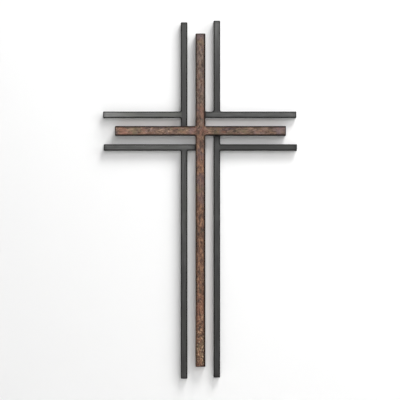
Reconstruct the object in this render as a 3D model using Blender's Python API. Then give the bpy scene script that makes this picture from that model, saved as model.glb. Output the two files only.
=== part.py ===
"""Metal wall cross, welded from square steel tube.

A centre cross of heavier tube stands between four corner pieces of lighter tube.
Each corner piece is an upright and an arm. One of the two runs through to the
centre cross and is welded to it, and the other butts against the first one. Going
round the cross, the bar that runs through is by turns an upright and an arm.

X points right, Z up and Y into the wall. Every bar has its back face on the wall
plane, y = 0, and the origin is the crossing of the centre lines on that plane.
"""

import math

import bmesh
import bpy

MM = 0.001

# Square tube, across its flats, with its wall and its outer corner radius
CENTRE_TUBE = 19.05 * MM
CENTRE_CORNER = 2.4 * MM
FRAME_TUBE = 12.7 * MM
FRAME_CORNER = 2.0 * MM
TUBE_WALL = 1.65 * MM

# Cap welded into each free end, and the radius that its edge is ground to
END_CAP = 2.0 * MM
END_ROUND = 1.5 * MM

# Clear channel between the centre cross and the corner pieces beside it
CHANNEL = 15.4 * MM

# Free lengths, each measured from the crossing to the bar's far end
CENTRE_RISE = 185.8 * MM
CENTRE_DROP = 449.7 * MM
CENTRE_REACH = 163.0 * MM
UPPER_LEFT_RISE = 208.0 * MM
UPPER_LEFT_REACH = 186.1 * MM
UPPER_RIGHT_RISE = 211.1 * MM
UPPER_RIGHT_REACH = 183.2 * MM
LOWER_LEFT_DROP = 473.3 * MM
LOWER_LEFT_REACH = 185.0 * MM
LOWER_RIGHT_DROP = 471.0 * MM
LOWER_RIGHT_REACH = 184.5 * MM

# Root gap left between two bars where they are welded
WELD_GAP = 0.3 * MM

# Keyhole in the back wall of the centre upright, for the head of a wall screw
KEYHOLE_HEIGHT = 120.0 * MM
KEYHOLE_HEAD = 9.5 * MM
KEYHOLE_SLOT = 5.0 * MM
KEYHOLE_TRAVEL = 11.0 * MM

# Facets on each rounded corner, rounded end and half circle
CORNER_STEPS = 5
END_STEPS = 3
ARC_STEPS = 16

# Most that a corner may take of its side, and an end's round of its corner
CORNER_SHARE = 0.45
END_SHARE = 0.8

# Least corner radius inside the tube
LEAST_CORNER = 0.3 * MM

# Ways that a bar can point, as a turn about Y of a bar that points up
UP = 0.0
RIGHT = math.pi / 2
DOWN = math.pi
LEFT = -math.pi / 2

# Finishes: name, colour, roughness and metallic value
GUNMETAL = ("frame_gunmetal", (0.075, 0.075, 0.073), 0.42, 0.55)
PATINA = ("centre_patina", (0.17, 0.105, 0.072), 0.45, 0.6)


def clear_scene():
    """Removes whatever the scene holds before the cross is made."""
    for obj in list(bpy.data.objects):
        bpy.data.objects.remove(obj, do_unlink=True)


def finish_of(name, colour, roughness, metallic):
    """A plain metal finish with the given colour, roughness and metallic value."""
    material = bpy.data.materials.new(name)
    material.use_nodes = True
    shader = material.node_tree.nodes["Principled BSDF"]
    shader.inputs["Base Color"].default_value = (*colour, 1.0)
    shader.inputs["Roughness"].default_value = roughness
    shader.inputs["Metallic"].default_value = metallic
    return material


def new_object(name, bm, parent, material=None):
    """Makes an object from a bmesh, smooth on its rounds and sharp on its edges."""
    mesh = bpy.data.meshes.new(name)
    bmesh.ops.recalc_face_normals(bm, faces=bm.faces)
    bm.to_mesh(mesh)
    bm.free()
    mesh.shade_smooth()
    mesh.set_sharp_from_angle(angle=math.radians(30))
    if material is not None:
        mesh.materials.append(material)
    obj = bpy.data.objects.new(name, mesh)
    bpy.context.scene.collection.objects.link(obj)
    obj.parent = parent
    return obj


def round_edges(bm, edges, radius, steps):
    """Rounds the given edges of a bmesh."""
    bmesh.ops.bevel(
        bm,
        geom=edges,
        offset=radius,
        offset_type="OFFSET",
        segments=steps,
        profile=0.5,
        affect="EDGES",
        clamp_overlap=True,
    )


def square_bar(side, corner, length, rounded_ends):
    """A bmesh of a square bar along +Z from the origin, with its long edges rounded.

    rounded_ends holds the heights of the ends whose outline is rounded too.
    """
    bm = bmesh.new()
    bmesh.ops.create_cube(bm, size=1.0)
    for vert in bm.verts:
        vert.co.x *= side
        vert.co.y *= side
        vert.co.z = (vert.co.z + 0.5) * length
    long_edges = [e for e in bm.edges if abs(e.verts[0].co.z - e.verts[1].co.z) > length / 2]
    radius = min(corner, CORNER_SHARE * side)
    round_edges(bm, long_edges, radius, CORNER_STEPS)
    for height in rounded_ends:
        rim = [e for e in bm.edges if all(abs(v.co.z - height) < length * 1e-6 for v in e.verts)]
        round_edges(bm, rim, min(END_ROUND, END_SHARE * radius), END_STEPS)
    return bm


def keyhole_outline():
    """Points of the keyhole, as (x, height) from the centre of its round head.

    The head is an arc that stops where the slot's two sides meet it, and the slot
    ends above in a half circle. The screw's head goes in through the round part, and
    its shank comes to rest at the top of the slot.
    """
    head = KEYHOLE_HEAD / 2
    half_slot = KEYHOLE_SLOT / 2
    mouth = math.asin(half_slot / head)
    points = []
    for step in range(2 * ARC_STEPS + 1):
        turn = math.pi / 2 + mouth + step / (2 * ARC_STEPS) * (2 * math.pi - 2 * mouth)
        points.append((head * math.cos(turn), head * math.sin(turn)))
    for step in range(ARC_STEPS + 1):
        turn = step / ARC_STEPS * math.pi
        points.append((half_slot * math.cos(turn), KEYHOLE_TRAVEL + half_slot * math.sin(turn)))
    return points


def keyhole_cutter(parent):
    """A helper solid of the keyhole's outline that goes right through the back wall."""
    bm = bmesh.new()
    ring = [bm.verts.new((x, -2 * TUBE_WALL, height)) for x, height in keyhole_outline()]
    face = bm.faces.new(ring)
    pulled = bmesh.ops.extrude_face_region(bm, geom=[face])["geom"]
    moved = [item for item in pulled if isinstance(item, bmesh.types.BMVert)]
    bmesh.ops.translate(bm, verts=moved, vec=(0.0, 3 * TUBE_WALL, 0.0))
    cutter = new_object("keyhole_cutter", bm, parent)
    cutter.location.z = KEYHOLE_HEIGHT
    return cutter


def hollow_cutter(parent, length):
    """A helper solid of the hollow inside the centre upright, between its end caps."""
    side = CENTRE_TUBE - 2 * TUBE_WALL
    corner = max(CENTRE_CORNER - TUBE_WALL, LEAST_CORNER)
    cutter = new_object("hollow_cutter", square_bar(side, corner, length - 2 * END_CAP, ()), parent)
    cutter.location = (0.0, -CENTRE_TUBE / 2, -CENTRE_DROP + END_CAP)
    return cutter


def cut(obj, cutter):
    """Takes the cutter's shape out of the object, and keeps the cutter as a guide."""
    boolean = obj.modifiers.new(cutter.name, "BOOLEAN")
    boolean.operation = "DIFFERENCE"
    boolean.solver = "EXACT"
    boolean.object = cutter
    cutter.hide_render = True
    cutter.display_type = "WIRE"


def add_bar(name, parent, material, side, corner, root, way, length):
    """A bar welded at its root, (x, z) on its centre line, with a capped far end."""
    obj = new_object(name, square_bar(side, corner, length, (length,)), parent, material)
    x, z = root
    obj.location = (x, -side / 2, z)
    obj.rotation_euler.y = way


def centre_cross(parent, material):
    """The hollow upright with its keyhole, and an arm welded to each of its sides."""
    length = CENTRE_RISE + CENTRE_DROP
    body = square_bar(CENTRE_TUBE, CENTRE_CORNER, length, (0.0, length))
    upright = new_object("centre_upright", body, parent, material)
    upright.location = (0.0, -CENTRE_TUBE / 2, -CENTRE_DROP)
    cut(upright, hollow_cutter(parent, length))
    cut(upright, keyhole_cutter(parent))
    start = CENTRE_TUBE / 2 + WELD_GAP
    for name, sign, way in (("centre_arm_left", -1, LEFT), ("centre_arm_right", 1, RIGHT)):
        root = (sign * start, 0.0)
        add_bar(name, parent, material, CENTRE_TUBE, CENTRE_CORNER, root, way, CENTRE_REACH - start)


def corner_piece(name, parent, material, sides, rise, reach, upright_runs_through):
    """One corner piece: an upright and an arm, of which one runs through.

    sides is (x, z), each -1 or 1, and says which quarter of the cross the piece is in.
    The bar that runs through starts at the centre cross, and the other one starts at
    the outer side of the first.
    """
    side_x, side_z = sides
    line = CENTRE_TUBE / 2 + CHANNEL + FRAME_TUBE / 2
    at_centre = CENTRE_TUBE / 2 + WELD_GAP
    at_frame = line + FRAME_TUBE / 2 + WELD_GAP
    upright_start = at_centre if upright_runs_through else at_frame
    arm_start = at_frame if upright_runs_through else at_centre
    bars = (
        ("_upright", (side_x * line, side_z * upright_start), UP if side_z > 0 else DOWN, rise - upright_start),
        ("_arm", (side_x * arm_start, side_z * line), RIGHT if side_x > 0 else LEFT, reach - arm_start),
    )
    for suffix, root, way, length in bars:
        add_bar(name + suffix, parent, material, FRAME_TUBE, FRAME_CORNER, root, way, length)


def build_cross():
    """Builds every bar of the cross under one empty at the origin."""
    clear_scene()
    origin = bpy.data.objects.new("wall_cross", None)
    bpy.context.scene.collection.objects.link(origin)
    centre_cross(origin, finish_of(*PATINA))
    gunmetal = finish_of(*GUNMETAL)
    corners = (
        ("upper_left", (-1, 1), UPPER_LEFT_RISE, UPPER_LEFT_REACH, True),
        ("upper_right", (1, 1), UPPER_RIGHT_RISE, UPPER_RIGHT_REACH, False),
        ("lower_right", (1, -1), LOWER_RIGHT_DROP, LOWER_RIGHT_REACH, True),
        ("lower_left", (-1, -1), LOWER_LEFT_DROP, LOWER_LEFT_REACH, False),
    )
    for name, sides, rise, reach, upright_runs_through in corners:
        corner_piece(name, origin, gunmetal, sides, rise, reach, upright_runs_through)


build_cross()
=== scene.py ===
"""Finished look of a welded metal wall cross.

The bars of the centre cross get a mottled rust and copper patina with shallow pits,
the corner bars a dark brushed gunmetal, and every joint its weld. The stage is a pale
wall and floor with soft light from the upper right.
"""

import itertools
import math

import bmesh
import bpy
import numpy as np
from bpy.props import FloatProperty, FloatVectorProperty, IntProperty, PointerProperty
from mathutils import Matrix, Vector


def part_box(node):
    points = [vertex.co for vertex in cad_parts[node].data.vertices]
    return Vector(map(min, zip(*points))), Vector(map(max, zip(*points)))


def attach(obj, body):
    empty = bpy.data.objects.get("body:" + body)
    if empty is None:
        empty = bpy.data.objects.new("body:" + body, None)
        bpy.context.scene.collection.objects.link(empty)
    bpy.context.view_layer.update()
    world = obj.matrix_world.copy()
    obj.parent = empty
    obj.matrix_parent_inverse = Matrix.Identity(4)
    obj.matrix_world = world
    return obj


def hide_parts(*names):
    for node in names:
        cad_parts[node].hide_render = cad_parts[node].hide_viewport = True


bl_info = {
    "name": "Metal Wall Cross",
    "version": (1, 0, 0),
    "blender": (4, 5, 0),
    "location": "3D View > Sidebar > Wall Cross",
    "description": "Finished bars, welds and stage of a metal wall cross",
    "category": "Object",
}

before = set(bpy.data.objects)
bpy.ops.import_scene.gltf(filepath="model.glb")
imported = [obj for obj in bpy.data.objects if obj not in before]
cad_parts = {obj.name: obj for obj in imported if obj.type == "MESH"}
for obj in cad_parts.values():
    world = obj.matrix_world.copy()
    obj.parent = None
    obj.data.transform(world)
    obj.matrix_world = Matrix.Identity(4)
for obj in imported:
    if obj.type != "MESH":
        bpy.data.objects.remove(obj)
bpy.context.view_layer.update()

MM = 0.001
BODY = "root"
PATINA_SLOT = "centre_patina"
GUNMETAL_SLOT = "frame_gunmetal"

CENTRE_BARS = ("centre_upright", "centre_arm_left", "centre_arm_right")
CORNER_BARS = (
    "upper_left_upright",
    "upper_left_arm",
    "upper_right_arm",
    "upper_right_upright",
    "lower_right_upright",
    "lower_right_arm",
    "lower_left_arm",
    "lower_left_upright",
)

# Each weld: the bar that butts, the bar it meets, and the leg of its inside corners
WELDS = (
    ("centre_arm_left", "centre_upright", 1.8 * MM),
    ("centre_arm_right", "centre_upright", 1.3 * MM),
    ("upper_left_upright", "centre_arm_left", 1.5 * MM),
    ("upper_left_arm", "upper_left_upright", 2.4 * MM),
    ("upper_right_arm", "centre_upright", 1.5 * MM),
    ("upper_right_upright", "upper_right_arm", 3.0 * MM),
    ("lower_right_upright", "centre_arm_right", 1.5 * MM),
    ("lower_right_arm", "lower_right_upright", 1.5 * MM),
    ("lower_left_arm", "centre_upright", 1.5 * MM),
    ("lower_left_upright", "lower_left_arm", 1.5 * MM),
)

# How far a weld laps onto the bars, how deep inside them it closes, the spacing and the
# height of the rings along it, and its crown and the wander of its edges as shares of its leg
WELD_LIP = 0.5 * MM
WELD_ROOT = 0.7 * MM
RING_PITCH = 1.3 * MM
RING_HEIGHT = 0.045 * MM
WELD_CROWN = 0.17
WELD_WANDER = 0.10

# Keyhole in the back of the centre upright, and the walls of the tube's hollow
KEYHOLE_HEIGHT = 120.0 * MM
KEYHOLE_HEAD = 9.5 * MM
KEYHOLE_SLOT = 5.0 * MM
KEYHOLE_TRAVEL = 11.0 * MM
TUBE_WALL = 1.65 * MM
END_CAP = 2.0 * MM

# Depth and width of the ground line of a cap's weld
CAP_LINE_DEPTH = 0.10 * MM
CAP_LINE_WIDTH = 0.35 * MM

# Mesh cells round the corner of a bar and of its hollow, along a side, round a corner and
# across a weld, and round half a turn of the keyhole
BAR_ARC_CELLS = 7
HOLLOW_ARC_CELLS = 6
WELD_CELLS = (44, 16, 14)
KEYHOLE_STEPS = 24

# Angle past which a bar's or a weld's edge is left sharp, in degrees
BAR_SHARP = 50
WELD_SHARP = 80

# Painted sheen and shade: how light each bar's finish is painted at its root and at its far end,
# standing in for the reflections that brighten the faces towards the ends, and how much darker
# its root is painted, as far as SCORCH_AND_SHADOW_REACH. The darker root is partly the weld's heat
# blackening and partly painted shadow, most of all under the centre arm on the lower right upright.
SCORCH_AND_SHADOW_REACH = 9.0 * MM
SHEEN_AND_SHADE_TONES = {
    "centre_upright": (1.0, 1.38, 0.0),
    "centre_arm_left": (1.4, 1.65, 0.0),
    "centre_arm_right": (1.02, 1.24, 0.0),
    "upper_left_upright": (0.8, 1.2, 0.35),
    "upper_left_arm": (2.15, 4.7, 0.3),
    "upper_right_arm": (1.4, 1.85, 0.4),
    "upper_right_upright": (0.78, 2.2, 0.2),
    "lower_right_upright": (1.0, 0.85, 0.7),
    "lower_right_arm": (0.6, 0.82, 0.0),
    "lower_left_arm": (1.65, 1.65, 0.4),
    "lower_left_upright": (1.2, 1.15, 0.2),
}

# Places where the patina leans to one tint, each as its x, z and reach in millimetres
TINTED_PLACES = {
    "copper": (
        (-149, 0, 11), (-108, 2, 9), (50, 2, 15), (6, 6, 20), (2, -60, 14), (0, -345, 42),
        (2, 40, 14),
    ),
    "olive": (
        (-33, 0, 9), (-128, -3, 10), (84, 0, 13), (30, -3, 9), (3, 168, 10), (-9, -100, 14),
        (-8, -190, 14), (3, -415, 22),
    ),
    "plum": (
        (-17, 0, 9), (2, -46, 11), (150, 0, 14), (-3, 180, 10), (5, -98, 20), (5, -131, 12),
    ),
}

# Width of the photo and the place of the cross's crossing in it, in pixels
PHOTO_WIDTH = 400
CROSSING_IN_PHOTO = (200.45, 131.1)

# Point that the lights face, and each light with its place and width
LIT_PLACE = Vector((0.0, 0.0, -0.1))
SOFTBOXES = (
    ("key_light", (0.9, -1.2, 2.2), 1.2),
    ("soft_light", (1.9, -1.0, 0.6), 1.0),
    ("fill_light", (0.0, -2.6, 0.5), 1.6),
    ("back_light", (0.2, 2.4, 0.5), 3.6),
    ("side_light", (-2.6, 0.9, 0.4), 1.6),
)


# Settings


class BarSettings(bpy.types.PropertyGroup):
    """Sizes of the finished bars that the solids leave open."""

    centre_corner: FloatProperty(
        name="Centre corner", description="Corner radius of the centre tube", default=2.4 * MM,
        precision=4, unit="LENGTH",
    )
    frame_corner: FloatProperty(
        name="Frame corner", description="Corner radius of the lighter tube", default=2.0 * MM,
        precision=4, unit="LENGTH",
    )
    end_round: FloatProperty(
        name="End round", description="Radius that a capped end is ground to", default=1.5 * MM,
        precision=4, unit="LENGTH",
    )
    cap_line: FloatProperty(
        name="Cap line", description="Distance from an end to the line of its cap weld",
        default=4.8 * MM, precision=4, unit="LENGTH",
    )
    centre_cell: FloatProperty(
        name="Centre cell", description="Length of a mesh cell along a centre bar",
        default=0.8 * MM, precision=4, unit="LENGTH",
    )
    frame_cell: FloatProperty(
        name="Frame cell", description="Length of a mesh cell along a dark bar",
        default=1.1 * MM, precision=4, unit="LENGTH",
    )
    crust: FloatProperty(
        name="Crust", description="Height of the patina's crust", default=0.13 * MM,
        precision=5, unit="LENGTH",
    )
    pits: FloatProperty(
        name="Pits", description="Depth of the pits in the patina", default=0.3 * MM,
        precision=5, unit="LENGTH",
    )
    waves: FloatProperty(
        name="Waves", description="Hand-dressed unevenness of the dark bars", default=0.07 * MM,
        precision=5, unit="LENGTH",
    )
    cells_across: IntProperty(
        name="Cells across", description="Mesh cells across a flat side of a bar", default=16,
        min=2,
    )


class FinishSettings(bpy.types.PropertyGroup):
    """Colours of the two finishes."""

    umber: FloatVectorProperty(
        name="Umber", description="Darkest brown of the patina", subtype="COLOR", size=3,
        default=(0.026, 0.017, 0.013),
    )
    brown: FloatVectorProperty(
        name="Brown", description="Middle brown high up", subtype="COLOR", size=3,
        default=(0.082, 0.056, 0.043),
    )
    russet: FloatVectorProperty(
        name="Russet", description="Middle brown low down", subtype="COLOR", size=3,
        default=(0.118, 0.057, 0.035),
    )
    tan: FloatVectorProperty(
        name="Tan", description="Light brown high up", subtype="COLOR", size=3,
        default=(0.196, 0.142, 0.111),
    )
    amber: FloatVectorProperty(
        name="Amber", description="Light brown low down", subtype="COLOR", size=3,
        default=(0.285, 0.152, 0.086),
    )
    fleck: FloatVectorProperty(
        name="Fleck", description="Pale flecks of the patina", subtype="COLOR", size=3,
        default=(0.46, 0.31, 0.20),
    )
    copper: FloatVectorProperty(
        name="Copper", description="Copper red of the patina", subtype="COLOR", size=3,
        default=(0.185, 0.078, 0.050),
    )
    olive: FloatVectorProperty(
        name="Olive", description="Olive of the patina", subtype="COLOR", size=3,
        default=(0.120, 0.096, 0.052),
    )
    plum: FloatVectorProperty(
        name="Plum", description="Grey violet of the patina", subtype="COLOR", size=3,
        default=(0.125, 0.087, 0.092),
    )
    gunmetal: FloatVectorProperty(
        name="Gunmetal", description="Face of the dark bars", subtype="COLOR", size=3,
        default=(0.041, 0.041, 0.040),
    )
    # Colour of the painted dark edges of the dark bars, a painted shade; their faint scale uses it
    # too
    edge: FloatVectorProperty(
        name="Edge", description="Corners of the dark bars", subtype="COLOR", size=3,
        default=(0.009, 0.009, 0.009),
    )


class StageSettings(bpy.types.PropertyGroup):
    """Camera and light of the stage."""

    distance: FloatProperty(
        name="Distance", description="Distance from the camera to the wall", default=2.0,
        unit="LENGTH",
    )
    picture: FloatProperty(
        name="Picture", description="Width that the picture takes in", default=0.764,
        unit="LENGTH",
    )
    key_light: FloatProperty(
        name="Key light", description="Power of the light from high on the right",
        default=76.0, unit="POWER",
    )
    soft_light: FloatProperty(
        name="Soft light", description="Power of the light level with the cross on the right",
        default=19.0, unit="POWER",
    )
    fill_light: FloatProperty(
        name="Fill light", description="Power of the light behind the camera", default=22.0,
        unit="POWER",
    )
    back_light: FloatProperty(
        name="Back light", description="Power of the light behind the wall", default=70.0,
        unit="POWER",
    )
    side_light: FloatProperty(
        name="Side light", description="Power of the light on the left, behind the wall",
        default=40.0, unit="POWER",
    )
    fill: FloatProperty(
        name="Fill", description="Brightness of the surroundings", default=0.18, min=0.0,
    )
    backdrop: FloatProperty(
        name="Backdrop", description="Brightness of the surroundings as the camera sees them",
        default=0.85, min=0.0,
    )


# Shapes: a form is a function of places on a grid


def smooth(low, high, value):
    """Smooth step: 0 below low, 1 above high, and 3t^2 - 2t^3 between."""
    t = np.clip((value - low) / (high - low), 0.0, 1.0)
    return t * t * (3.0 - 2.0 * t)


def noise(places, cell, seed):
    """Gradient noise, about -1 to 1.

    Space is cut into cells of the given size. Each corner of a cell has a fixed
    direction, and a place gets the dot product of that direction and its distance from
    the corner, blended over the cell's eight corners by 6t^5 - 15t^4 + 10t^3.
    """
    rng = np.random.default_rng(seed)
    order = rng.permutation(256)
    ways = rng.normal(size=(256, 3))
    ways /= np.linalg.norm(ways, axis=1, keepdims=True)
    scaled = places / np.asarray(cell)
    corner = np.floor(scaled).astype(np.int64)
    inside = scaled - corner
    fade = inside**3 * (inside * (inside * 6.0 - 15.0) + 10.0)
    total = np.zeros(len(places))
    for step in itertools.product((0, 1), repeat=3):
        step = np.array(step)
        x, y, z = (corner + step).T
        way = ways[order[(order[(order[x % 256] + y) % 256] + z) % 256]]
        weight = np.where(step == 1, fade, 1.0 - fade).prod(axis=1)
        total += weight * (way * (inside - step)).sum(axis=1)
    return 1.6 * total


def outline(flat_steps, arc_steps):
    """A rounded square's outline as two arrays, core and way.

    A point of a square of half width H and corner radius R is (H - R) core + R way. On a
    corner, core stays and way turns. On a flat, way stays and core slides along.
    """
    corners = np.array([(1, 1), (-1, 1), (-1, -1), (1, -1), (1, 1)], dtype=float)
    core, way = [], []
    for quarter in range(4):
        turn = (quarter + np.arange(arc_steps) / arc_steps) * math.pi / 2
        core.append(np.repeat(corners[quarter : quarter + 1], arc_steps, axis=0))
        way.append(np.stack([np.cos(turn), np.sin(turn)], axis=1))
        slide = (np.arange(flat_steps) / flat_steps)[:, None]
        core.append(corners[quarter] * (1 - slide) + corners[quarter + 1] * slide)
        turned = (quarter + 1) * math.pi / 2
        way.append(np.tile([math.cos(turned), math.sin(turned)], (flat_steps, 1)))
    return np.concatenate(core), np.concatenate(way)


def ring_faces(rings, around):
    """Quads between rings of a closed outline, each ring joined to the next one."""
    row, column = np.meshgrid(np.arange(rings - 1), np.arange(around), indexing="ij")
    following = (column + 1) % around
    low, high = row * around, (row + 1) * around
    quads = np.stack([low + column, low + following, high + following, high + column], axis=-1)
    return quads.reshape(-1, 4)


class Bar:
    """A square bar of the frame: its root, its ways, its sizes and its finish.

    Its own places are (u, v, w): u across its front face and v towards the front, both from
    its centre line, and w from its root to its far end. The centre upright has a capped end
    at its root too.
    """

    def __init__(self, node):
        self.settings = bpy.context.scene.wall_cross_bars
        self.name = node
        self.patina = node in CENTRE_BARS
        self.slot = PATINA_SLOT if self.patina else GUNMETAL_SLOT
        self.corner = self.settings.centre_corner if self.patina else self.settings.frame_corner
        self.two_ends = node == "centre_upright"
        low, high = (np.array(corner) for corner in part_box(node))
        size, centre = high - low, (low + high) / 2
        along = int(np.argmax(size))
        self.length = size[along]
        self.half = size[1] / 2
        forward = np.zeros(3)
        forward[along] = 1.0 if centre[along] > 0 else -1.0
        front = np.array([0.0, -1.0, 0.0])
        self.ways = np.stack([np.cross(front, forward), front, forward])
        self.root = centre - forward * self.length / 2

    def to_frame(self, places):
        """Places of the bar as places of the frame."""
        return self.root + places @ self.ways

    def to_bar(self, points):
        """Places of the frame as places of the bar."""
        return (points - self.root) @ self.ways.T


def end_rows(bar, steps=5, rings=6):
    """Rows of a rounded end from its side to its middle, as (back, inset, corner, lean).

    back is the distance from the end plane, inset the distance that the outline is drawn
    in, and lean the angle that the surface has turned towards the end plane. The rim is a
    quarter circle, and the end face is flat.
    """
    end_round = bar.settings.end_round
    turn = np.linspace(0.0, math.pi / 2, steps + 1)
    rim_back, rim_inset = end_round * (1 - np.sin(turn)), end_round * (1 - np.cos(turn))
    face_inset = end_round + (bar.half - end_round) * np.arange(1, rings) / rings
    back = np.concatenate([rim_back, np.zeros(rings - 1)])
    inset = np.concatenate([rim_inset, face_inset])
    lean = np.concatenate([turn, np.full(rings - 1, math.pi / 2)])
    return back, inset, np.maximum(bar.corner - inset, 0.2 * (bar.half - inset)), lean


def straight_rows(w, corner):
    """Rows of a bar's straight run at the places w: nothing drawn in and nothing leaning."""
    return np.column_stack([w, np.zeros(len(w)), np.full(len(w), corner), np.zeros(len(w))])


def bar_rows(bar):
    """Rows of a whole bar, as (w, inset, corner, lean), closer together at a cap's line.

    A bar with one capped end starts with a single small row, hidden in its joint.
    """
    back, inset, radius, lean = end_rows(bar)
    cell = bar.settings.centre_cell if bar.patina else bar.settings.frame_cell
    cap_line, reach, clear = bar.settings.cap_line, 1.2 * MM, 2.2 * MM
    line = cap_line + np.linspace(-reach, reach, 13)
    first = cap_line + clear if bar.two_ends else 0.0
    last = bar.length - cap_line - clear
    middle = np.linspace(first, last, max(2, round((last - first) / cell)) + 1)
    if bar.two_ends:
        cap = np.column_stack([back, inset, radius, -lean])[::-1]
        near = np.concatenate([cap, straight_rows(line, bar.corner)])
    else:
        near = [(0.0, bar.half / 2, bar.corner / 2, -math.pi / 2)]
    run = straight_rows(np.concatenate([middle, bar.length - line[::-1]]), bar.corner)
    far = np.column_stack([bar.length - back, inset, radius, lean])
    return np.concatenate([near, run, far]).T


def bar_surface(bar):
    """Closed surface of a bar: a rounded square carried along it, drawn in at its ends.

    Returns the places in the bar's own axes, the ways that they face, the quads, and the
    triangles that close the two ends.
    """
    core, way = outline(bar.settings.cells_across, BAR_ARC_CELLS)
    w, inset, radius, lean = bar_rows(bar)
    straight = (bar.half - inset - radius)[:, None, None] * core
    places = np.empty((len(w), len(core), 3))
    places[..., :2] = straight + radius[:, None, None] * way
    places[..., 2] = w[:, None]
    facing = np.empty_like(places)
    facing[..., :2] = np.cos(lean)[:, None, None] * way
    facing[..., 2] = np.sin(lean)[:, None]
    around = len(core)
    poles = np.array([(0.0, 0.0, w[0]), (0.0, 0.0, w[-1])])
    quads = ring_faces(len(w), around)
    column = np.arange(around)
    following = (column + 1) % around
    near, far, last = len(w) * around, len(w) * around + 1, (len(w) - 1) * around
    fans = np.concatenate([
        np.stack([np.full(around, near), following, column], axis=1),
        np.stack([np.full(around, far), last + column, last + following], axis=1),
    ])
    places = np.concatenate([places.reshape(-1, 3), poles])
    facing = np.concatenate([facing.reshape(-1, 3), [(0, 0, -1), (0, 0, 1)]])
    return places, facing, quads, fans


def pit_depth(places, lower):
    """How deep the pits are, 0 to 1: the peaks of two noises, more of them lower down."""
    wide = noise(places, (2.6 * MM, 2.6 * MM, 4.2 * MM), 11)
    narrow = noise(places, (1.5 * MM, 1.5 * MM, 2.0 * MM), 12)
    return smooth(0.50 - 0.2 * lower, 0.95 - 0.2 * lower, wide + 0.35 * narrow)


def lower_share(points):
    """How low down the cross a point is, 0 at the arms to 1 near the foot."""
    return smooth(-0.05, 0.42, -points[:, 2])


def warm_share(points):
    """How red-brown the patina is: it grows from above the arms down, and less so on them."""
    on_arm = smooth(12.0 * MM, 40.0 * MM, abs(points[:, 0]))
    return smooth(-0.09, 0.08, -points[:, 2]) * (1.0 - 0.4 * on_arm)


def tint_shares(points):
    """Three numbers for each point, one a tint: the sum of its places' bell curves, up to 1."""
    shares = np.zeros((len(points), len(TINTED_PLACES)))
    for share, places in zip(shares.T, TINTED_PLACES.values()):
        for x, z, reach in MM * np.array(places):
            share += np.exp(-((points[:, 0] - x) ** 2 + (points[:, 2] - z) ** 2) / reach**2)
    return np.minimum(shares, 1.0)


def crust_height(places):
    """The crust between the pits, -1 to 1, as noise of two sizes drawn out along the bar."""
    broad = noise(places, (4.0 * MM, 4.0 * MM, 9.0 * MM), 13)
    fine = noise(places, (1.6 * MM, 1.6 * MM, 2.6 * MM), 14)
    return 0.6 * broad + 0.4 * fine


def hand_waves(places):
    """The unevenness of a bar that was dressed by hand, -1 to 1, long along the bar."""
    long = noise(places, (8.0 * MM, 8.0 * MM, 46.0 * MM), 21)
    short = noise(places, (3.5 * MM, 3.5 * MM, 9.0 * MM), 22)
    return 0.7 * long + 0.3 * short


def cap_groove(bar, places):
    """The ground line of a cap's weld round the bar, 0 to 1, as a bell curve along it."""
    w, cap_line = places[:, 2], bar.settings.cap_line
    groove = np.exp(-(((w - bar.length + cap_line) / CAP_LINE_WIDTH) ** 2))
    if bar.two_ends:
        groove += np.exp(-(((w - cap_line) / CAP_LINE_WIDTH) ** 2))
    return groove


def underside_shade_share(bar, places):
    """How far down a level bar's side a place is, 0 at its middle to 1 at its underside: where
    painted shade falls on it.
    """
    return np.clip(-bar.ways[0, 2] * places[:, 0] / bar.half, 0.0, 1.0)


def corner_share(bar, places, spread):
    """How much of a place lies on a painted dark edge, 0 to 1: it is near two of the faces at once.

    The dark edge is painted shade and a painted dark reflection on the rounded corners and end
    rims. On the front and the back it starts at 0.6 of the half width, or further in where
    spread is above 0. On the sides it ends with the corner's round. Round an end face it
    starts 2.3 mm from the end, and a cap's ground line, a dark weld line, is half as dark.
    """
    u = smooth(0.60 - 0.2 * spread, 0.76 - 0.1 * spread, abs(places[:, 0]) / bar.half)
    v = smooth(0.72, 0.86, abs(places[:, 1]) / bar.half)
    middle = bar.length / 2
    reach = abs(places[:, 2] - middle) if bar.two_ends else places[:, 2] - middle
    end = smooth(middle - 2.3 * MM, middle - 1.0 * MM, reach)
    seam = 0.5 * cap_groove(bar, places)
    return np.maximum(np.maximum(u * v, end * np.maximum(u, v)), seam)


def new_mesh(name, points, quads, triangles=(), sharp=BAR_SHARP):
    """A smooth mesh from points, quads and triangles, with its sharpest edges left sharp."""
    triangles = np.asarray(triangles, dtype=np.int64).reshape(-1, 3)
    mesh = bpy.data.meshes.new(name)
    mesh.vertices.add(len(points))
    mesh.vertices.foreach_set("co", np.asarray(points, dtype=np.float32).ravel())
    corners = np.concatenate([quads.ravel(), triangles.ravel()]).astype(np.int32)
    mesh.loops.add(len(corners))
    mesh.loops.foreach_set("vertex_index", corners)
    starts = np.concatenate([
        4 * np.arange(len(quads)),
        4 * len(quads) + 3 * np.arange(len(triangles)),
    ]).astype(np.int32)
    mesh.polygons.add(len(starts))
    mesh.polygons.foreach_set("loop_start", starts)
    mesh.update(calc_edges=True)
    mesh.validate()
    mesh.shade_smooth()
    mesh.set_sharp_from_angle(angle=math.radians(sharp))
    return mesh


def new_object(name, mesh):
    """An object for a mesh, in the scene."""
    obj = bpy.data.objects.new(name, mesh)
    bpy.context.scene.collection.objects.link(obj)
    return obj


def new_piece(mesh, material):
    """An object for a mesh, with the mesh's name and a material."""
    mesh.materials.append(material)
    return new_object(mesh.name, mesh)


def mesh_points(mesh):
    """A mesh's points as an array."""
    points = np.empty(3 * len(mesh.vertices))
    mesh.vertices.foreach_get("co", points)
    return points.reshape(-1, 3)


def add_attribute(mesh, name, values):
    """Stores one number or one vector for each point of a mesh."""
    vector = np.ndim(values) == 2
    kind, field = ("FLOAT_VECTOR", "vector") if vector else ("FLOAT", "value")
    attribute = mesh.attributes.new(name, kind, "POINT")
    attribute.data.foreach_set(field, np.asarray(values, np.float32).ravel())


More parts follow.
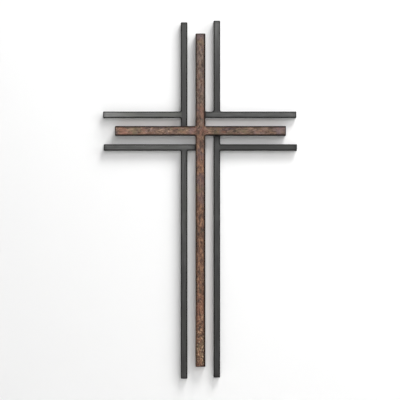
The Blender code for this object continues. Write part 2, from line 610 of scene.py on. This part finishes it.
def own_place(bar, places):
    """The place that a bar's finish reads, moved so that no two bars look alike."""
    shift = 0.37 * (CENTRE_BARS + CORNER_BARS).index(bar.name)
    return places + np.array([shift, 0.5 * shift, -0.25 * shift])


def painted_tone_of(bar, places):
    """How light the finish is painted: a painted sheen and a painted shade.

    It changes as the cube of the way from a bar's root to its end, standing in for the
    reflections that light the faces towards the ends. It is less by a bell curve at a darkened
    root, partly the weld's heat blackening and partly painted shadow, and less along the lower
    edge of a bar that lies level, as painted shade on its underside.
    """
    at_root, at_end, scorch_and_shadow = SHEEN_AND_SHADE_TONES[bar.name]
    tone = at_root + (at_end - at_root) * np.clip(places[:, 2] / bar.length, 0.0, 1.0) ** 3
    # Painted shade along the underside of a bar that lies level
    underside_shade = smooth(0.62, 0.80, underside_shade_share(bar, places))
    # Darker root: partly the weld's heat blackening, partly painted shadow
    scorch_and_shadow_darkening = scorch_and_shadow * np.exp(-((places[:, 2] / SCORCH_AND_SHADOW_REACH) ** 2))
    return tone * (1.0 - scorch_and_shadow_darkening) * (1.0 - 0.7 * underside_shade)


def finish_points(mesh, bar):
    """Gives a bar's mesh what its finish reads: its own place, its tone, edges and tints.

    The tone is a painted sheen and shade, and the edges are painted dark edges, a painted shade.
    The centre upright's painted dark edge is less dark on its left side than on the others.
    """
    points = mesh_points(mesh)
    places = bar.to_bar(points)
    own = own_place(bar, places)
    add_attribute(mesh, "bar_place", own)
    add_attribute(mesh, "tone", painted_tone_of(bar, places))
    lower = lower_share(points)
    # The painted dark edges reach further in low on the centre cross, and towards the underside of a
    # level dark bar, as more painted shade
    spread = 0.5 * lower if bar.patina else 0.7 * underside_shade_share(bar, places)
    edge = corner_share(bar, places, spread)
    if bar.two_ends:
        # Painted shade: the centre upright's dark edge is painted less dark on its left side
        edge *= 1.0 - 0.35 * smooth(0.0, 0.5, -places[:, 0] / bar.half)
    add_attribute(mesh, "edge", edge)
    if bar.patina:
        add_patina_points(mesh, points, own, lower)


def add_patina_points(mesh, points, own, lower):
    """Gives a patina piece its pits, its warmth and its tints."""
    add_attribute(mesh, "pit", pit_depth(own, lower))
    add_attribute(mesh, "warm", warm_share(points))
    add_attribute(mesh, "tint", tint_shares(points))


def keyhole_outline():
    """Points of the keyhole, (x, height): a round head with a round-ended slot above it."""
    head, half_slot = KEYHOLE_HEAD / 2, KEYHOLE_SLOT / 2
    mouth = math.asin(half_slot / head)
    turn = math.pi / 2 + mouth + np.linspace(0.0, 2 * math.pi - 2 * mouth, 2 * KEYHOLE_STEPS + 1)
    top = np.linspace(0.0, math.pi, KEYHOLE_STEPS + 1)
    x = np.concatenate([head * np.cos(turn), half_slot * np.cos(top)])
    z = np.concatenate([head * np.sin(turn), KEYHOLE_TRAVEL + half_slot * np.sin(top)])
    return np.stack([x, z], axis=1)


def prism(name, ring, way):
    """A closed prism: a ring of points carried along a vector, with a flat end each side."""
    count = len(ring)
    points = np.concatenate([ring, ring + way])
    mesh = bpy.data.meshes.new(name)
    sides = ring_faces(2, count).tolist()
    ends = [list(range(count))[::-1], list(range(count, 2 * count))]
    mesh.from_pydata(points.tolist(), [], sides + ends)
    mesh.update()
    return mesh


def cut_keyhole(mesh, bar):
    """Hollows the centre upright between its caps, and cuts the keyhole in its back wall.

    The slivers that the cuts leave, thinner than a few thousandths of a millimetre, are
    merged away.
    """
    core, way = outline(1, HOLLOW_ARC_CELLS)
    half, radius = bar.half - TUBE_WALL, bar.corner - TUBE_WALL
    ring = np.column_stack([(half - radius) * core + radius * way, np.full(len(core), END_CAP)])
    hollow = prism("hollow", bar.to_frame(ring), bar.ways[2] * (bar.length - 2 * END_CAP))
    hole = keyhole_outline()
    inner = np.full(len(hole), -1.5 * TUBE_WALL)
    ring = np.column_stack([hole[:, 0], inner, hole[:, 1] + KEYHOLE_HEIGHT])
    keyhole = prism("keyhole", ring[::-1], np.array([0.0, 3 * TUBE_WALL, 0.0]))
    inside = raw_steel()
    body = new_object("uncut", mesh)
    cutters = []
    for cutter_mesh in (hollow, keyhole):
        cutter = new_piece(cutter_mesh, inside)
        boolean = body.modifiers.new(cutter.name, "BOOLEAN")
        boolean.operation = "DIFFERENCE"
        boolean.solver = "EXACT"
        boolean.object = cutter
        boolean.material_mode = "TRANSFER"
        cutters.append(cutter)
    depsgraph = bpy.context.evaluated_depsgraph_get()
    cut = bpy.data.meshes.new_from_object(body.evaluated_get(depsgraph))
    for helper in (body, *cutters):
        bpy.data.objects.remove(helper, do_unlink=True)
    bm = bmesh.new()
    bm.from_mesh(cut)
    bmesh.ops.remove_doubles(bm, verts=bm.verts, dist=0.004 * MM)
    bmesh.ops.dissolve_degenerate(bm, edges=bm.edges, dist=0.001 * MM)
    bm.to_mesh(cut)
    bm.free()
    cut.set_sharp_from_angle(angle=math.radians(BAR_SHARP))
    return cut


def make_bar(node, material):
    """A finished bar that stands for its solid: surface, relief, cap lines and finish.

    The relief is cut down into the surface. It is shallow on the back, which lies on the
    wall, and fades out at a root, which lies in a joint.
    """
    bar = Bar(node)
    settings = bar.settings
    places, facing, quads, fans = bar_surface(bar)
    own = own_place(bar, places)
    if bar.patina:
        depth = settings.crust * (0.5 - 0.5 * crust_height(own))
        depth += settings.pits * pit_depth(own, lower_share(bar.to_frame(places)))
    else:
        depth = settings.waves * (0.5 - 0.5 * hand_waves(own))
    depth += CAP_LINE_DEPTH * cap_groove(bar, places)
    back = smooth(0.75 * bar.half, 0.98 * bar.half, -places[:, 1])
    depth = np.clip(depth, 0.0, None) * (1 - 0.85 * back)
    if not bar.two_ends:
        depth *= smooth(0.0, 1.5 * MM, places[:, 2])
    name = node + "_tube"
    mesh = new_mesh(name, bar.to_frame(places - facing * depth[:, None]), quads, fans)
    mesh.materials.append(material)
    if bar.two_ends:
        mesh = cut_keyhole(mesh, bar)
        mesh.name = name
    finish_points(mesh, bar)
    piece = new_object(name, mesh)
    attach(piece, BODY)
    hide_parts(node)


# Welds


def on_section(bar, along):
    """Point of a bar's outline, unrolled from the middle of one of its sides.

    Returns (front, out): the place towards the front and the place out of that side, both
    from the side's middle. The outline runs straight, round the corner and straight again.
    """
    corner = bar.corner
    side, reach = np.sign(along), abs(along)
    flat, arc = bar.half - corner, corner * math.pi / 2
    turn = np.clip((reach - flat) / corner, 0.0, math.pi / 2)
    past = np.clip(reach - flat - arc, 0.0, None)
    front = side * (np.minimum(reach, flat) + corner * np.sin(turn))
    return front, -corner * (1 - np.cos(turn)) - past


def fall_of(bar, front):
    """How far a bar's side has fallen back at a place towards its front."""
    sine = np.clip((abs(front) - (bar.half - bar.corner)) / bar.corner, 0.0, 1.0)
    return -bar.corner * (1 - np.sqrt(1 - sine**2))


def weld_surface(bar, through, leg, relief):
    """Rings of a weld round the root of a bar, ground flush where the faces are level.

    Each section of the weld is a quadratic curve from a head point on the bar, past the
    point where the two surfaces would meet, to a foot point on the other bar. It closes
    inside the metal. In the inside corners it swells into a bead with rings along it, and
    both its edges wander a little. Places are the bar's own, with w from the other bar's
    side. Returns the rings of places, and how level the faces are at each place, 0 to 1.
    """
    along_side, round_corner, across = WELD_CELLS
    core, way = outline(along_side, round_corner)
    rise = through.half - bar.half
    flush_front = rise < 1.0 * MM
    wrap = through.half - through.corner + through.corner * math.pi / 2 + WELD_LIP
    front_foot = wrap if flush_front else bar.half - rise + leg
    half_u, half_s = bar.half + leg, (front_foot + wrap) / 2
    rounding = bar.corner + leg
    foot_u = (half_u - rounding) * core[:, 0] + rounding * way[:, 0]
    foot_s = (half_s - rounding) * core[:, 1] + rounding * way[:, 1] + (front_foot - wrap) / 2

    section = (bar.half - bar.corner) * core + bar.corner * way
    steps = np.linalg.norm(np.diff(section, axis=0, append=section[:1]), axis=1)
    arc = np.cumsum(steps) / steps.sum() * 2 * math.pi
    level = np.where(way[:, 1] > 0, float(flush_front), 1.0) * smooth(0.0, 1.0, abs(way[:, 1]))
    wander = 0.6 * np.sin(5 * arc) + 0.4 * np.sin(11 * arc + 1.0)
    wander *= WELD_WANDER * leg * (1 - level)
    foot_u += wander * way[:, 0]
    foot_front, foot_out = on_section(through, foot_s)
    foot = np.stack([foot_u, foot_front + rise, foot_out], axis=1)
    head = np.column_stack([section, leg + (2 * WELD_LIP - leg) * level + wander])
    meet = np.column_stack([section, fall_of(through, section[:, 1] - rise)])

    t = np.linspace(0.0, 1.0, across + 1)[:, None, None]
    skin = (1 - t) ** 2 * head + 2 * t * (1 - t) * meet + t**2 * foot
    outward = np.column_stack([way, 1.0 - level])
    outward /= np.linalg.norm(outward, axis=1, keepdims=True)
    count = round(steps.sum() / RING_PITCH)
    ripple = 0.5 + 0.5 * np.cos(count * arc + 2.4 * (2 * t[..., 0] - 1) ** 2)
    swell = (1 - level) * (WELD_CROWN * leg + RING_HEIGHT * ripple)
    bulge = 4 * t * (1 - t)
    sink = relief * (0.4 + 0.35 * t) * (1 - 0.5 * bulge)
    skin += outward * (bulge * swell[..., None] - sink)

    inner_head = head - np.column_stack([way, np.zeros(len(way))]) * WELD_ROOT
    inner_foot = foot - outward * WELD_ROOT
    inner_foot[:, 2] = np.minimum(inner_foot[:, 2], foot[:, 2] - 0.5 * WELD_ROOT)
    rings = np.concatenate([skin, inner_foot[None], inner_head[None]])
    return rings, np.tile(level, len(rings))


def make_weld(node, other, leg, material):
    """The weld between a bar and the one that it butts against."""
    bar, through = Bar(node), Bar(other)
    relief = bar.settings.crust if bar.patina else bar.settings.waves
    rings, level = weld_surface(bar, through, leg, relief)
    count, around = rings.shape[:2]
    places = rings.reshape(-1, 3) - np.array([0.0, 0.0, root_gap(bar, through)])
    column = np.arange(around)
    following = (column + 1) % around
    last = (count - 1) * around
    closing = np.stack([last + column, last + following, following, column], axis=1)
    quads = np.concatenate([ring_faces(count, around), closing])[:, ::-1]
    points = bar.to_frame(places)
    mesh = new_mesh("weld_" + node, points, quads, sharp=WELD_SHARP)
    own = own_place(bar, places)
    add_attribute(mesh, "bar_place", own)
    add_attribute(mesh, "tone", weld_painted_tone(bar, through, places, points, count))
    # Painted shade: the weld is darker round the bar's corners, like the bars' painted dark edges,
    # and a little darker on its fillets in the inside corners
    add_attribute(mesh, "edge", 3.2 * level * (1 - level) + 0.3 * (1 - level))
    if bar.patina:
        add_patina_points(mesh, points, own, lower_share(points))
    piece = new_piece(mesh, material)
    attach(piece, BODY)


def weld_painted_tone(bar, through, places, points, count):
    """The painted tone of sheen and shade of a weld's rings, from its bar's at the head to the other
    bar's at the foot.

    Between a dark bar and the centre cross it is the dark bar's throughout.
    """
    own = painted_tone_of(bar, places)
    if through.patina != bar.patina:
        return own
    across = np.repeat(np.minimum(np.arange(count) / (count - 3), 1.0), len(places) // count)
    return own + (painted_tone_of(through, through.to_bar(points)) - own) * across


def root_gap(bar, through):
    """The gap between a bar's root and the side of the bar that it is welded to."""
    line = through.root - bar.root
    return abs(float(line @ abs(bar.ways[2]))) - through.half


# Materials: shader maths written as Python expressions


class Wire:
    """A shader socket whose arithmetic adds Math nodes."""

    def __init__(self, paint, socket):
        self.paint, self.socket = paint, socket

    def maths(self, operation, first, second, clamp=False):
        settings = {"operation": operation, "use_clamp": clamp}
        return self.paint.node("ShaderNodeMath", settings, {0: first, 1: second})

    def __add__(self, other):
        return self.maths("ADD", self, other)

    __radd__ = __add__

    def __sub__(self, other):
        return self.maths("SUBTRACT", self, other)

    def __rsub__(self, other):
        return self.maths("SUBTRACT", other, self)

    def __mul__(self, other):
        return self.maths("MULTIPLY", self, other)

    __rmul__ = __mul__

    def clamped(self):
        return self.maths("ADD", self, 0.0, clamp=True)

    def step(self, low, high):
        """0 below low, 1 above high, and a smooth step between."""
        settings = {"interpolation_type": "SMOOTHSTEP"}
        values = {"Value": self, "From Min": low, "From Max": high}
        return self.paint.node("ShaderNodeMapRange", settings, values)


class Paint:
    """A node tree whose nodes are added by one method."""

    def __init__(self, owner):
        owner.use_nodes = True
        self.tree = owner.node_tree
        self.shader = self.tree.nodes.get("Principled BSDF")

    def node(self, kind, settings, values, output=0):
        """Adds a node, sets it up, gives its sockets values or links, and returns an output."""
        node = self.tree.nodes.new(kind)
        for key, value in settings.items():
            setattr(node, key, value)
        for key, value in values.items():
            self.feed(node.inputs[key], value)
        return Wire(self, node.outputs[output])

    def feed(self, socket, value):
        """Links a wire to a socket, or sets the socket's own value."""
        if isinstance(value, Wire):
            self.tree.links.new(value.socket, socket)
        elif socket.type == "RGBA":
            socket.default_value = (*value, 1.0)
        else:
            socket.default_value = value

    def attribute(self, name, output="Fac"):
        """A number or a vector that the mesh stores for each point."""
        return self.node("ShaderNodeAttribute", {"attribute_name": name}, {}, output)

    def object_place(self):
        """The place in the frame, in metres."""
        return self.node("ShaderNodeTexCoord", {}, {}, "Object")

    def part(self, vector, index):
        """One coordinate of a vector."""
        return self.node("ShaderNodeSeparateXYZ", {}, {0: vector}, index)

    def scaled(self, vector, scale):
        """A place with each of its coordinates multiplied."""
        return self.node("ShaderNodeVectorMath", {"operation": "MULTIPLY"}, {0: vector, 1: scale})

    def cloud(self, place, cell, detail=3.0, roughness=0.55, distortion=0.0):
        """Noise, about 0.25 to 0.75, in cells of the given size."""
        values = {
            "Vector": place,
            "Scale": 1.0 / cell,
            "Detail": detail,
            "Roughness": roughness,
            "Distortion": distortion,
        }
        return self.node("ShaderNodeTexNoise", {}, values)

    def mix(self, factor, first, second):
        """A colour between two colours."""
        return self.node("ShaderNodeMix", {"data_type": "RGBA"}, {0: factor, 6: first, 7: second}, 2)

    def dimmed(self, colour, share):
        """A colour with each of its parts multiplied by one number."""
        return self.node("ShaderNodeVectorMath", {"operation": "SCALE"}, {0: colour, 3: share})

    def bump(self, height, distance):
        """Gives the surface a fine relief."""
        values = {"Height": height, "Distance": distance}
        self.feed(self.shader.inputs["Normal"], self.node("ShaderNodeBump", {}, values))

    def set(self, **values):
        """Feeds the shader's sockets, named with underscores for spaces."""
        for name, value in values.items():
            self.feed(self.shader.inputs[name.replace("_", " ")], value)


def patina_finish():
    """Rust and copper patina: streaks drawn out along the bar, tinted patches, pits and flecks.

    The tone of the streaks runs from umber through brown to tan. Over it lie layers, each
    with the share that it covers: plum, olive and copper, more of each in its own places,
    then blots, pale flecks that grow towards the foot, and fine grains. Pits stay umber, and
    the edges are painted a darker umber as painted shade on the rounded corners. The tone
    attribute, a painted sheen and shade, dims it all.
    """
    colours = bpy.context.scene.wall_cross_finish
    material = bpy.data.materials.new("rust_patina")
    paint = Paint(material)
    place, spot = paint.attribute("bar_place", "Vector"), paint.object_place()
    drawn = paint.scaled(place, (1.0, 1.0, 0.34))
    drop = 0.0 - paint.part(spot, 2)
    lower, foot = drop.step(0.02, 0.38), drop.step(0.29, 0.43)
    warm, tint = paint.attribute("warm"), paint.attribute("tint", "Vector")
    coppery, olive, plummy = (paint.part(tint, index) for index in range(3))

    streak = paint.cloud(drawn, 3.0 * MM, detail=7.0, roughness=0.64, distortion=0.6)
    patch = paint.cloud(drawn, 9.0 * MM, detail=5.0, roughness=0.62, distortion=0.8)
    tone = 0.68 * streak + 0.32 * patch
    brown = paint.mix(warm, colours.brown[:], colours.russet[:])
    tan = paint.mix(warm, colours.tan[:], colours.amber[:])
    colour = paint.mix(tone.step(0.40, 0.48), colours.umber[:], brown)
    colour = paint.mix(tone.step(0.49, 0.57), colour, tan)

    violet = paint.cloud(
        paint.scaled(spot, (1.0, 1.0, 0.8)), 18.0 * MM, detail=6.0, roughness=0.65, distortion=0.8
    )
    green = paint.cloud(spot, 13.0 * MM, detail=6.0, roughness=0.66, distortion=0.8)
    red = paint.cloud(drawn, 7.0 * MM, detail=6.0, roughness=0.66, distortion=0.8)
    blot = paint.cloud(drawn, 4.4 * MM, detail=5.0, roughness=0.7, distortion=0.4)
    speck = paint.cloud(
        paint.scaled(place, (1.0, 1.0, 0.6)), 2.3 * MM, detail=3.0, roughness=0.6, distortion=0.3
    )
    grain = paint.cloud(place, 1.1 * MM, detail=3.0, roughness=0.7)
    violet = (violet + 0.15 * plummy).step(0.51, 0.62) * (0.55 - 0.35 * warm + 0.35 * plummy)
    green = (green + 0.12 * olive).step(0.53, 0.63) * (0.4 + 0.2 * olive)
    red = (red + 0.11 * coppery).step(0.53, 0.63) * (0.35 + 0.1 * lower + 0.25 * coppery)
    blots = blot.step(0.53, 0.60) * (0.5 + 0.1 * lower + 0.25 * foot)
    flecks = (speck + 0.03 * foot).step(0.59, 0.64) * (0.15 + 0.15 * lower + 0.6 * foot)
    grains = grain.step(0.56, 0.68) * (0.4 + 0.1 * lower + 0.2 * foot)
    pit = paint.attribute("pit")
    # Painted shade: the rounded edges are painted a darker umber
    dark = (paint.attribute("edge") * (0.9 + 0.6 * (streak - 0.5))).clamped()
    layers = (
        (violet, colours.plum),
        (green, colours.olive),
        (red, colours.copper),
        (blots, colours.umber),
        (flecks, colours.fleck),
        (grains, colours.umber),
        (dark, [0.5 * part for part in colours.umber]),
        ((pit * 0.9).clamped(), colours.umber),
    )
    for share, layer in layers:
        colour = paint.mix(share, colour, layer[:])
    # The tone attribute dims the colour as a painted sheen and shade
    paint.set(
        Base_Color=paint.dimmed(colour, paint.attribute("tone")),
        Metallic=(0.45 - 0.3 * pit + 0.4 * dark).clamped(),
        Roughness=0.28 + 0.28 * streak + 0.14 * grain + 0.12 * pit + 0.2 * dark,
    )
    paint.bump(0.5 * streak + 0.5 * grain, 0.35 * MM)
    return material


def gunmetal_finish():
    """Dark brushed gunmetal: streaks along the bar, faint clouds of tint, painted darker edges.

    The streaks run from a deeper shade to a lighter one, with fine hairs of the lighter.
    Clouds lean it to olive, a faint scale is near black, and the bar's edges are painted near
    black as painted shade and a painted dark reflection. The tone attribute, a painted sheen
    and shade, dims the colour.
    """
    colours = bpy.context.scene.wall_cross_finish
    material = bpy.data.materials.new("dark_gunmetal")
    paint = Paint(material)
    place = paint.attribute("bar_place", "Vector")
    hair = paint.cloud(paint.scaled(place, (1.0, 1.0, 0.025)), 0.7 * MM, detail=2.0, roughness=0.6)
    streak = paint.cloud(paint.scaled(place, (1.0, 1.0, 0.07)), 2.4 * MM, roughness=0.6)
    cloud = paint.cloud(paint.scaled(place, (1.0, 1.0, 0.4)), 26.0 * MM, distortion=0.5)
    scale = paint.cloud(place, 2.6 * MM, detail=4.0, roughness=0.65)

    light = [1.30 * part for part in colours.gunmetal]
    deep = [0.72 * part for part in colours.gunmetal]
    greenish = [share * part for share, part in zip((0.96, 1.0, 0.86), colours.gunmetal)]
    colour = paint.mix(streak.step(0.34, 0.68), deep, light)
    colour = paint.mix(hair.step(0.45, 0.72) * 0.25, colour, light)
    colour = paint.mix(cloud.step(0.48, 0.66) * 0.45, colour, greenish)
    colour = paint.mix(scale.step(0.58, 0.76) * 0.3, colour, colours.edge[:])
    # Painted sheen and shade: the tone lightens faces towards the bars' ends and darkens roots and
    # undersides
    colour = paint.dimmed(colour, paint.attribute("tone"))
    # Painted shade: the rounded edges are painted near black
    dark = (paint.attribute("edge") * (0.9 + 0.6 * (scale - 0.5))).clamped()
    paint.set(
        Base_Color=paint.mix(dark, colour, colours.edge[:]),
        Metallic=0.4 + 0.5 * dark,
        Roughness=0.31 + 0.14 * streak + 0.1 * scale + 0.3 * dark,
    )
    paint.bump(0.6 * hair + 0.4 * scale, 0.12 * MM)
    return material


def raw_steel():
    """Bare, lightly rusted steel inside the centre upright."""
    material = bpy.data.materials.new("raw_steel_inside")
    paint = Paint(material)
    rust = paint.cloud(paint.object_place(), 4.5 * MM, detail=4.0, roughness=0.6)
    colour = paint.mix(rust.step(0.45, 0.65), (0.11, 0.105, 0.10), (0.10, 0.045, 0.02))
    paint.set(Base_Color=colour, Metallic=0.6, Roughness=0.55 + 0.2 * rust)
    paint.bump(rust, 0.2 * MM)
    return material


def wall_finish():
    """White wall paint that is clear from behind, so that the cross's back can be seen."""
    material = bpy.data.materials.new("stage_wall")
    paint = Paint(material)
    paint.set(Base_Color=(0.86, 0.86, 0.86), Roughness=0.9, Specular_IOR_Level=0.1)
    behind = paint.node("ShaderNodeNewGeometry", {}, {}, "Backfacing")
    clear = paint.node("ShaderNodeBsdfTransparent", {}, {})
    front = Wire(paint, paint.shader.outputs[0])
    both = paint.node("ShaderNodeMixShader", {}, {0: behind, 1: front, 2: clear})
    paint.feed(paint.tree.nodes["Material Output"].inputs["Surface"], both)
    return material


def floor_finish():
    """Plain pale floor."""
    material = bpy.data.materials.new("stage_floor")
    Paint(material).set(Base_Color=(0.78, 0.78, 0.77), Roughness=0.7)
    return material


def surroundings(fill, backdrop):
    """A plain pale world, dimmer as a light than the camera sees it, and dimmer low down."""
    world = bpy.data.worlds.new("studio")
    paint = Paint(world)
    seen = paint.node("ShaderNodeLightPath", {}, {}, "Is Camera Ray")
    way = paint.node("ShaderNodeTexCoord", {}, {}, "Generated")
    light = fill * (0.85 + 0.4 * paint.part(way, 2))
    background = paint.tree.nodes["Background"]
    paint.feed(background.inputs["Color"], (1.0, 1.0, 1.0))
    paint.feed(background.inputs["Strength"], light + seen * (backdrop - light))
    return world


# Operators


class WALLCROSS_OT_centre_cross(bpy.types.Operator):
    """Makes the three finished bars of the centre cross"""

    bl_idname = "wall_cross.centre_cross"
    bl_label = "Centre cross"

    def execute(self, context):
        material = patina_finish()
        for node in CENTRE_BARS:
            make_bar(node, material)
        return {"FINISHED"}


class WALLCROSS_OT_corner_bars(bpy.types.Operator):
    """Makes the eight finished bars of the corner pieces"""

    bl_idname = "wall_cross.corner_bars"
    bl_label = "Corner bars"

    def execute(self, context):
        material = gunmetal_finish()
        for node in CORNER_BARS:
            make_bar(node, material)
        return {"FINISHED"}


class WALLCROSS_OT_welds(bpy.types.Operator):
    """Makes the weld at each joint, in the finish of the bar that butts"""

    bl_idname = "wall_cross.welds"
    bl_label = "Welds"

    def execute(self, context):
        for node, other, leg in WELDS:
            finish = "rust_patina" if node in CENTRE_BARS else "dark_gunmetal"
            make_weld(node, other, leg, bpy.data.materials[finish])
        return {"FINISHED"}


def add_sheet(name, points, material):
    """A flat stage surface through four points."""
    mesh = bpy.data.meshes.new(name)
    mesh.from_pydata(points, [], [(0, 1, 2, 3)])
    sheet = new_piece(mesh, material)
    return sheet


def add_softbox(name, place, size, power):
    """A square area light that faces the cross and isn't seen itself."""
    light = bpy.data.lights.new(name, "AREA")
    light.shape, light.size, light.energy = "SQUARE", size, power
    softbox = bpy.data.objects.new(name, light)
    softbox.location = place
    softbox.rotation_euler = (LIT_PLACE - Vector(place)).to_track_quat("-Z", "Y").to_euler()
    softbox.visible_camera = False
    bpy.context.scene.collection.objects.link(softbox)


def add_camera(settings):
    """A camera square to the wall, with the cross's crossing where the photo has it.

    The picture's width is measured at the front of the corner bars.
    """
    lens = bpy.data.cameras.new("camera")
    lens.sensor_width = 36.0
    to_front = settings.distance - 2 * Bar(CORNER_BARS[0]).half
    lens.lens = lens.sensor_width * to_front / settings.picture
    pixel = settings.picture / PHOTO_WIDTH
    right, down = (pixel * (place - PHOTO_WIDTH / 2) for place in CROSSING_IN_PHOTO)
    camera = bpy.data.objects.new("camera", lens)
    camera.location = (-right, -settings.distance, down)
    camera.rotation_euler = (math.pi / 2, 0.0, 0.0)
    bpy.context.scene.collection.objects.link(camera)
    bpy.context.scene.camera = camera


class WALLCROSS_OT_stage(bpy.types.Operator):
    """Makes the wall, the floor, the light and the camera"""

    bl_idname = "wall_cross.stage"
    bl_label = "Stage"

    def execute(self, context):
        settings = context.scene.wall_cross_stage
        reach, low, behind = 3.0, -1.3, 0.4 * MM
        sides = ((-reach, low), (reach, low), (reach, reach), (-reach, reach))
        wall = add_sheet("stage_wall", [(x, behind, z) for x, z in sides], wall_finish())
        wall.visible_shadow = wall.visible_glossy = wall.visible_diffuse = False
        ground = ((-reach, -reach), (reach, -reach), (reach, reach), (-reach, reach))
        add_sheet("stage_floor", [(x, y, low) for x, y in ground], floor_finish())

        for name, place, size in SOFTBOXES:
            add_softbox(name, place, size, getattr(settings, name))
        context.scene.world = surroundings(settings.fill, settings.backdrop)
        add_camera(settings)
        context.scene.view_settings.view_transform = "Standard"
        return {"FINISHED"}


class WALLCROSS_PT_panel(bpy.types.Panel):
    """Lists what makes up the wall cross"""

    bl_label = "Wall Cross"
    bl_space_type = "VIEW_3D"
    bl_region_type = "UI"
    bl_category = "Wall Cross"

    def draw(self, context):
        for operator in OPERATORS:
            self.layout.operator(operator.bl_idname)
        for group in SETTINGS:
            settings = getattr(context.scene, group)
            for name in settings.bl_rna.properties.keys():
                if name not in ("rna_type", "name"):
                    self.layout.prop(settings, name)


OPERATORS = (
    WALLCROSS_OT_centre_cross,
    WALLCROSS_OT_corner_bars,
    WALLCROSS_OT_welds,
    WALLCROSS_OT_stage,
)
SETTINGS = {
    "wall_cross_bars": BarSettings,
    "wall_cross_finish": FinishSettings,
    "wall_cross_stage": StageSettings,
}


def register():
    for cls in (*SETTINGS.values(), *OPERATORS, WALLCROSS_PT_panel):
        bpy.utils.register_class(cls)
    for name, cls in SETTINGS.items():
        setattr(bpy.types.Scene, name, PointerProperty(type=cls))


def unregister():
    for name in SETTINGS:
        delattr(bpy.types.Scene, name)
    for cls in reversed((*SETTINGS.values(), *OPERATORS, WALLCROSS_PT_panel)):
        bpy.utils.unregister_class(cls)


def main():
    register()
    bpy.ops.wall_cross.centre_cross()
    bpy.ops.wall_cross.corner_bars()
    bpy.ops.wall_cross.welds()
    bpy.ops.wall_cross.stage()


if __name__ == "__main__":
    main()
